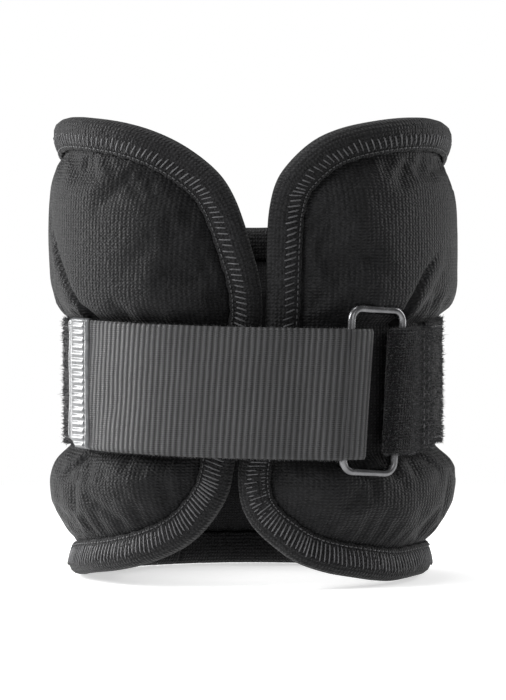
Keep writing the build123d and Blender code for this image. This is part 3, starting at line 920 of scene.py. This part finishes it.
# ----------------------------------------------------------------- ring and strap paths
RING_AZ, RING_R = 36.0, 59.0
RING_TILT = 4.4     # degrees its bars lean
RING_WIDTH, RING_HEIGHT = 21.0, 50.0
WIRE_R, RING_CORNER_R = 1.3, 3.4
RING_OUT = np.array([math.sin(RING_AZ * DEG), -math.cos(RING_AZ * DEG)])
RING_ALONG = np.array([-RING_OUT[1], RING_OUT[0]])
RING_CENTRE = RING_R * RING_OUT
HALF_BAR_GAP = RING_WIDTH / 2 - WIRE_R
LEFT_BAR = RING_CENTRE - RING_ALONG * HALF_BAR_GAP
RIGHT_BAR = RING_CENTRE + RING_ALONG * HALF_BAR_GAP


def polar(point):
    return math.degrees(math.atan2(point[0], -point[1])), math.hypot(point[0], point[1])


def out_and_along(point):
    """Unit vectors outwards and towards growing azimuth."""
    out = np.array(point) / np.linalg.norm(point)
    return out, np.array([-out[1], out[0]])


def sampled_path(points, spans=400):
    """Smooth plan curve through (azimuth, radius) points, as a function of 0 to 1."""
    az, r = np.array(points, float).T
    path = resample(catmull(at(az, r, 0)[:, :2], 8), n=spans)

    def sample(t):
        x = t * spans
        i = np.clip(np.floor(x).astype(int), 0, spans - 1)
        f = (x - i)[..., None]
        return path[i] * (1 - f) + path[i + 1] * f
    return sample


def strap(name, path, half_width, lean_half, lean, spans, thick, body, finish, nodes,
          slope=1.0, lift=0.0, rib=0.0, pitch=1.8, bow=0.0, wobble=0.12, seed=1, blend=None):
    """Upright band along a plan curve. lean(t) is how far it follows the ring's tilt.

    rib, pitch and bow shape the cross ribs, slope scales its downhill run to the ring.
    Returns the outer points and the plan normals.
    """
    T, W = grid(np.linspace(0, 1, spans[0]), np.linspace(-1, 1, spans[1]))
    line = path(T)
    az = np.arctan2(line[..., 0], -line[..., 1])
    r = np.hypot(line[..., 0], line[..., 1])
    downhill = 1.1 - 2.3 * linear(np.degrees(az), -64, 36)
    z = Z_STRAP + slope * downhill + W * half_width + lift
    az = az + lean(T) * (W * lean_half * math.tan(RING_TILT * DEG)) / r
    centre = np.stack([r * np.sin(az), -r * np.cos(az)], -1)
    d = np.gradient(centre, axis=0)
    steps = np.linalg.norm(np.diff(centre, axis=0), axis=2)
    arc = np.concatenate([np.zeros((1, spans[1])), np.cumsum(steps, 0)], 0)
    normal = unit(np.stack([d[..., 1], -d[..., 0]], -1))
    edge = np.abs(W)
    half = thick / 2 * (1 - 0.55 * linear(edge, 0.93, 1) ** 2)
    bowed = arc + bow * np.clip(-W - 0.55, 0, 1) ** 2 * 14
    ribs = rib * np.cos(bowed * 2 * math.pi / pitch) * np.clip((1 - edge) / 0.03, 0.25, 1)
    selvedge = 0.1225 * gauss(edge - 0.955, 0.02)
    wave = wobble * noise2(arc, z, 9, seed)
    outer = centre + normal * (half + ribs + selvedge + wave)[..., None]
    inner = centre - normal * (half - wave)[..., None]
    outer, inner = (np.concatenate([p, z[..., None]], -1) for p in (outer, inner))
    dress(slab(name, outer, inner, arc, z), body, finish, *nodes, blend=blend)
    return outer, normal


def upright_stitches(name, az, r, z, length, radius, body, finish, node_name):
    rows = threads(name, at(az, r, z), at(az, r, z + length), radius)
    dress(rows, body, finish, node_name)


# ----------------------------------------------------------------- elastic strap
FOLD_R = 2.2        # bend of the strap round the ring's left bar
TAIL_R = 59.2
bar_az, bar_r = polar(LEFT_BAR)
bar_out, bar_along = out_and_along(LEFT_BAR)


def lower_run():
    path = sampled_path([(a, 57.45) for a in np.linspace(-50, bar_az - 1.4, 12)])
    strap("strap_lower_run_web", path, 18.6, 19, lambda t: np.clip((t - 0.7) / 0.3, 0, 1),
          (260, 22), 1.3, "ring_and_strap", ELASTIC, ["strap_lower_run"], rib=0.05)


def strap_fold():
    """The turn round the ring's left bar."""
    back = bar_along * (-1.3)
    points = [polar(LEFT_BAR + back - bar_out * FOLD_R)]
    for a in np.linspace(-90, 90, 15):
        turn = math.cos(a * DEG) * bar_along * 3.0 + math.sin(a * DEG) * bar_out
        points.append(polar(LEFT_BAR + turn * FOLD_R))
    points.append(polar(LEFT_BAR + back + bar_out * FOLD_R))
    ends = (tuple(np.array([*(LEFT_BAR + k * bar_out * FOLD_R), Z_STRAP]) * MM)
            for k in (-1, 1))
    strap("strap_fold_web", sampled_path(points), 18.9, 19, lambda t: 1.0, (60, 40), 1.4,
          None, ELASTIC, ["strap_fold"], rib=0.05, wobble=0.05,
          blend=("ring_and_strap", "strap_end", *ends))


def strap_tail():
    """The returning end, easing down from the ring on to the lower run."""
    drop = bar_r + FOLD_R - TAIL_R
    points = [(bar_az - 1.0 - x, TAIL_R + drop * (1 - float(bell(x, 1.0, 13.0))))
              for x in range(0, 16, 2)][:8]
    points += [(a, TAIL_R) for a in np.arange(8, -52, -6.0)] + [(-54.6, TAIL_R)]
    return strap("strap_tail_web", sampled_path(points, 900), 19.0, 19,
                 lambda t: np.clip(1 - t / 0.35, 0, 1), (620, 44), 1.35, "strap_end", ELASTIC,
                 ["strap_tail"], rib=0.19, pitch=1.75, bow=0.8, wobble=0.14, seed=5)


def end_tab():
    """Film tab with a ladder of cross ridges and its lower corner cut."""
    U, V = grid(np.linspace(0, 1, 70), np.linspace(-1, 1, 230))
    az = -53.6 - 10.9 * U
    low_cut = 1 - 0.16 * linear(U, 0.55, 1)
    top_cut = 1 - 0.03 * linear(U, 0.8, 1)
    z = Z_STRAP + 1.1 + V * np.where(V < 0, low_cut, top_cut) * 19.2
    ridges = 0.42 * (0.5 + 0.5 * np.cos(z * 2 * math.pi / 2.05)) ** 0.7
    field = np.minimum(linear(U, 0.14, 0.20), linear(U, 0.82, 0.76))
    border = 0.3 * gauss(U - 0.07, 0.04) + 0.25 * gauss(U - 0.93, 0.05)
    r = 60.15 + ridges * field + border + 0.12 * noise2(az, z, 6, 3)
    r -= 0.7 * linear(np.abs(V), 0.95, 1) ** 2
    dress(curved_slab("strap_end_tab_film", az, z, r, 58.5), "strap_end", TAB_FILM,
          "strap_end_tab")
    upright_stitches("end_tab_stitches", -54.6, 60.75, np.arange(42.6, 77.1, 2.1), 1.5, 0.17,
                     "strap_end", THREAD, "end_tab_stitching")


def hook_patch():
    """Backing with rows of small hooks on its inner face."""
    az, z = grid(np.linspace(-64.1, -53.7, 20), np.linspace(40, 77.5, 24))
    dress(curved_slab("hook_patch_base", az, z, 58.35, 57.55), "strap_end", HOOK, "hook_patch")
    az, z = grid(np.arange(-63.6, -54.0, 1.15), np.arange(41, 77, 1.5))
    hooks = threads("hook_patch_hooks", at(az, 57.6, z), at(az + 0.25, 56.95, z + 0.4), 0.13,
                    sides=5)
    dress(hooks, "strap_end", HOOK)


lower_run()
strap_fold()
tail_outer, tail_normal = strap_tail()
upright_stitches("strap_root_stitches", [-48.5, -43.5], 58.2, np.arange(42, 76, 2.2)[:, None],
                 1.6, 0.14, "ring_and_strap", DARK_THREAD, "strap_root_stitching")
end_tab()
hook_patch()


# ----------------------------------------------------------------- loop tape
TAPE_IN_R = 55.0
TAPE_HALF_WIDTH = 18


def pile(name, points, outwards, count, length, body, seed, width=0.09):
    """Bent fibres standing at random on surface points."""
    rng = np.random.default_rng(seed)
    pick = rng.integers(0, len(points), count)
    base = points[pick] + rng.normal(0, 0.16, (count, 3))
    out = outwards[pick]
    sway = rng.normal(0, 0.75, (count, 3))
    reach = (length * (0.45 + rng.random(count) ** 2))[:, None]
    tip = base + out * reach * 0.8 + sway * reach * 0.55
    middle = base + out * reach * 0.6 + sway * reach * 0.05
    half = unit(np.cross(out, rng.normal(0, 1, (count, 3)))) * width
    verts = np.stack([base - half, base + half, middle - half * 0.8, middle + half * 0.8, tip], 1)
    verts = verts.reshape(-1, 3)
    faces = []
    for o in range(0, 5 * count, 5):
        faces += [(o, o + 1, o + 3, o + 2), (o + 2, o + 3, o + 4)]
    dress(mesh_object(name, verts, faces, verts[:, [0, 2]]), body, FIBRE)


def loop_tape(side, az0, az1, body, lift, fibres, seed):
    """Band of loop tape with pile on its face and along its two edges."""
    name = f"{side}_loop_tape_web"
    r_out = 56.35
    mid_z = Z_STRAP + lift
    az, z = grid(np.linspace(az0, az1, int((az1 - az0) * 1.6)),
                 mid_z + np.linspace(-TAPE_HALF_WIDTH, TAPE_HALF_WIDTH, 40))
    lumps = 0.14 * noise2(az, z, 2.2, seed) + 0.1 * noise2(az, z, 5.0, seed + 1)
    thinning = 1 - 0.5 * np.clip(np.abs(z - Z_STRAP - lift) - (TAPE_HALF_WIDTH - 1), 0, 1)
    r = TAPE_IN_R + (r_out - TAPE_IN_R) * thinning + lumps
    dress(curved_slab(name, az, z, r, TAPE_IN_R), body, LOOP, f"{side}_loop_tape")
    rng = np.random.default_rng(seed + 2)
    on_face, on_edge = 6000, 2500
    face_az = rng.uniform(az0, az1, on_face)
    face = at(face_az, r_out - 0.05, mid_z + rng.uniform(-17.6, 17.6, on_face))
    up = np.where(rng.random(on_edge) < 0.5, -1, 1)
    edge_az = rng.uniform(az0, az1, on_edge)
    edge = at(edge_az, r_out - 0.3, mid_z + 17.8 * up)
    outwards = np.vstack([at(face_az, 1, 0), at(edge_az, 0.7, up * 0.7)])
    pile(name + "_pile", np.vstack([face, edge]), outwards, fibres, 0.85, body, seed + 3)


def hidden_loop_tape():
    """Plain length of the left tape further forward, without pile."""
    az, z = grid(np.linspace(-62.6, -32, 30),
                 Z_STRAP + 0.6 + np.linspace(-TAPE_HALF_WIDTH, TAPE_HALF_WIDTH, 16))
    dress(curved_slab("left_loop_tape_hidden", az, z, 56.3, TAPE_IN_R), "left_wing", LOOP)


def tape_bridge(side, sign):
    """Tape over a channel seam, dipping into it."""
    az, z = grid(sign * np.linspace(145.3, 154.2, 19),
                 Z_STRAP + 0.7 + np.linspace(-TAPE_HALF_WIDTH, TAPE_HALF_WIDTH, 30))
    shift = 0.12 * noise2(az, z, 2.2, 70) - 0.5 * gauss(np.abs(az) - 149.6, 1.6)
    bridge = curved_slab(f"{side}_loop_tape_bridge", az, z, 56.25 + shift, 55.2 + shift)
    dress(bridge, None, LOOP, blend=seam_blend(side, sign, 146.0, 153.2, 55))


def tape_stitches(side, az0, az1, body, lift):
    """A row of stitches along each edge of the tape."""
    az = np.arange(az0, az1, 2.6)
    z = Z_STRAP + lift + np.array([[-16.4], [16.4]])
    rows = threads(f"{side}_loop_tape_stitches", at(az, 56.55, z), at(az + 1.8, 56.55, z), 0.2)
    dress(rows, body, DARK_THREAD, f"{side}_loop_tape_stitching")


loop_tape("left", -145.7, -62.5, "left_wing", lift=0.6, fibres=9000, seed=61)
hidden_loop_tape()
loop_tape("rear", 153.9, 206.1, "rear_pad", lift=0.6, fibres=6000, seed=63)
loop_tape("right", 64.8, 145.7, "right_wing", lift=0.9, fibres=9000, seed=64)
for side, sign in SIDES:
    tape_bridge(side, sign)
tape_stitches("left", -145, -67, "left_wing", 0.6)
tape_stitches("rear", 154.6, 204, "rear_pad", 0.6)
tape_stitches("right", 66, 143.5, "right_wing", 0.9)


# ----------------------------------------------------------------- ring keeper
# (azimuth, radius) of the keeper's centre line before and after it rounds the ring's bar
KEEPER_UNDER = [(65.2, 55.7), (60, 55.7), (55, 55.8), (51, 56.1), (48, 56.9)]
KEEPER_OVER = [(47.2, 61.9), (49.2, 61.5), (51.2, 60.3), (53.0, 58.9), (55.5, 58.1),
               (60, 57.8), (65.2, 57.5)]


def keeper():
    """Folded end of the loop tape over the ring's right bar, with a frayed outer layer."""
    out, along = out_and_along(RIGHT_BAR)
    bend = 2.25
    turn = []
    for a in np.linspace(-80, 90, 12):
        offset = -math.cos(a * DEG) * along * 1.6 + math.sin(a * DEG) * out
        turn.append(polar(RIGHT_BAR + offset * bend))
    path = sampled_path(KEEPER_UNDER + turn + KEEPER_OVER, 600)
    outer, normal = strap("ring_keeper_web", path, 18.0, 18,
                          lambda t: np.clip(1 - np.abs(t - 0.52) / 0.36, 0, 1) ** 0.6,
                          (220, 44), 1.5, "right_wing", LOOP, ["ring_keeper"], slope=0.0,
                          lift=-0.6, wobble=0.16, seed=8)
    # pile only from the bar onwards, on the layer that faces out
    outer, normal = outer[105:], normal[105:]
    outwards = np.concatenate([normal, np.zeros(normal.shape[:2] + (1,))], -1)
    pile("ring_keeper_pile", outer.reshape(-1, 3), outwards.reshape(-1, 3), 9000, 0.95,
         "right_wing", 81)
    edges = np.concatenate([outer[:, 0], outer[:, -1]])
    updown = np.repeat([[0, 0, -1.0], [0, 0, 1.0]], len(outer), axis=0)
    pile("ring_keeper_fray", edges, updown, 1400, 0.7, "right_wing", 82)
    upright_stitches("keeper_stitches", [[58.5], [61.5]], [[58.75], [58.62]],
                     np.arange(41, 74.5, 2.3), 1.6, 0.2, "right_wing", THREAD,
                     "keeper_stitching")


def strap_fray():
    """Thin fray along the lower and upper edges of the strap's tail."""
    for level, j, up, count in (("low", 0, -1.0, 1500), ("top", -1, 1.0, 500)):
        edge = tail_outer[:, j]
        outwards = np.concatenate([tail_normal[:, j], np.full((len(edge), 1), up)], -1)
        pile(f"strap_edge_fray_{level}", edge, outwards, count, 0.33, "strap_end", 90 + count,
             width=0.06)


keeper()
strap_fray()


# ----------------------------------------------------------------- ring
def ring():
    """Upright rounded rectangle of round wire, tilted in its own plane."""
    x0 = HALF_BAR_GAP - RING_CORNER_R
    y0 = RING_HEIGHT / 2 - WIRE_R - RING_CORNER_R
    corners = []
    for cx, cy, start in ((x0, y0, 0), (-x0, y0, 90), (-x0, -y0, 180), (x0, -y0, 270)):
        for a in np.linspace(start, start + 90, 14) * DEG:
            corners.append((cx + RING_CORNER_R * math.cos(a), cy + RING_CORNER_R * math.sin(a)))
    p = resample(np.array(corners + corners[:1]), n=300)[:-1]
    t = unit(np.roll(p, -1, 0) - np.roll(p, 1, 0))
    n = np.stack([t[:, 1], -t[:, 0]], -1)
    angle = np.linspace(0, 2 * math.pi, 20, endpoint=False)
    q = p[:, None] + n[:, None] * (WIRE_R * np.cos(angle))[None, :, None]
    tilt_cos, tilt_sin = math.cos(-RING_TILT * DEG), math.sin(-RING_TILT * DEG)
    x = q[..., 0] * tilt_cos - q[..., 1] * tilt_sin
    y = q[..., 0] * tilt_sin + q[..., 1] * tilt_cos
    off = (WIRE_R * np.sin(angle))[None, :, None]
    plan = RING_CENTRE + RING_ALONG * x[..., None] + RING_OUT * off
    points = np.concatenate([plan, (Z_STRAP - 0.4 + y)[..., None]], -1)
    # UV in mm: about the wire's length and girth
    uv = np.stack(grid(np.linspace(0, 130, len(p)), np.linspace(0, 8, len(angle))), -1)
    dress(tube("ring_wire", points, uv, "joined"), "ring_and_strap", RING_METAL, "ring")


ring()

# ----------------------------------------------------------------- stage, light, camera
# From here on lengths are in metres.
scene = bpy.context.scene
scene.view_settings.view_transform = "Standard"
WHITE = (1, 1, 1, 1)


def floor_material():
    """Pale floor that runs out into plain white away from the cuff."""
    material, tree, bsdf = new_material("floor_white", roughness=0.6, base=grey(0.86),
                                        specular=0.2)
    fill(bsdf, emission_color=WHITE, emission_strength=0.56)
    distance = node(tree, "VectorMath", "Value", node(tree, "TexCoord", "Object"),
                    operation="LENGTH")
    fade = node(tree, "MapRange", "Result", value=distance, from_min=0.10, from_max=0.42)
    white = node(tree, "Emission", "Emission", strength=1.0)
    surface = node(tree, "MixShader", "Shader", fade, bsdf.outputs[0], white)
    fill(tree.nodes["Material Output"], surface=surface)
    return material


def floor():
    half, drop = 40.0, 0.0004
    mesh = bpy.data.meshes.new("floor")
    mesh.from_pydata([(-half, -half, 0), (half, -half, 0), (half, half, 0), (-half, half, 0)],
                     [], [(0, 1, 2, 3)])
    plane = bpy.data.objects.new("floor", mesh)
    plane.location = (0, 0, -drop)
    scene.collection.objects.link(plane)
    mesh.materials.append(floor_material())
    plane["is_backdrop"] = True


def studio_world():
    """Dim white for lighting, full white where the camera sees it."""
    world = bpy.data.worlds.new("studio")
    scene.world = world
    world.use_nodes = True
    tree = world.node_tree
    lighting = tree.nodes["Background"]
    fill(lighting, WHITE, 0.26)
    backdrop = node(tree, "Background", "Background", WHITE, 1.0)
    seen = node(tree, "LightPath", "Is Camera Ray")
    surface = node(tree, "MixShader", "Shader", seen, lighting.outputs[0], backdrop)
    fill(tree.nodes["World Output"], surface=surface)


def look_at(location, target):
    return (Vector(target) - Vector(location)).to_track_quat("-Z", "Y").to_euler()


def area(name, location, size, power, target_z=0.07):
    light = bpy.data.lights.new(name, "AREA")
    light.shape = "RECTANGLE"
    light.size, light.size_y = size
    light.energy = power
    lamp = bpy.data.objects.new(name, light)
    lamp.location = location
    lamp.rotation_euler = look_at(location, (0, 0, target_z))
    scene.collection.objects.link(lamp)
    lamp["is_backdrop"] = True


def camera():
    elevation, distance = 2.5 * DEG, 1.7
    centre = Vector((0, 0, 0.0675))
    cuff_width, frame_share, sensor = 0.121, 0.80, 36
    data = bpy.data.cameras.new("camera")
    data.sensor_width = sensor
    data.sensor_fit = "HORIZONTAL"
    data.clip_start = 0.01
    data.lens = sensor * distance / (cuff_width / frame_share)
    eye = bpy.data.objects.new("camera", data)
    eye.location = centre + Vector((0, -math.cos(elevation) * distance,
                                    math.sin(elevation) * distance))
    eye.rotation_euler = look_at(eye.location, centre)
    scene.collection.objects.link(eye)
    scene.camera = eye


floor()
studio_world()
area("key", location=(-0.75, -0.45, 0.55), size=(0.45, 0.6), power=9.5)
area("rim_left", location=(-0.65, 0.25, 0.15), size=(0.25, 0.6), power=8.0)
area("fill", location=(0.5, -0.9, 0.35), size=(0.5, 0.5), power=1.5)
area("rim_right", location=(0.7, 0.35, 0.3), size=(0.25, 0.6), power=3.0)
area("top", location=(-0.1, 0.05, 0.95), size=(0.5, 0.5), power=5.0, target_z=0.08)
camera()

write_bounds()
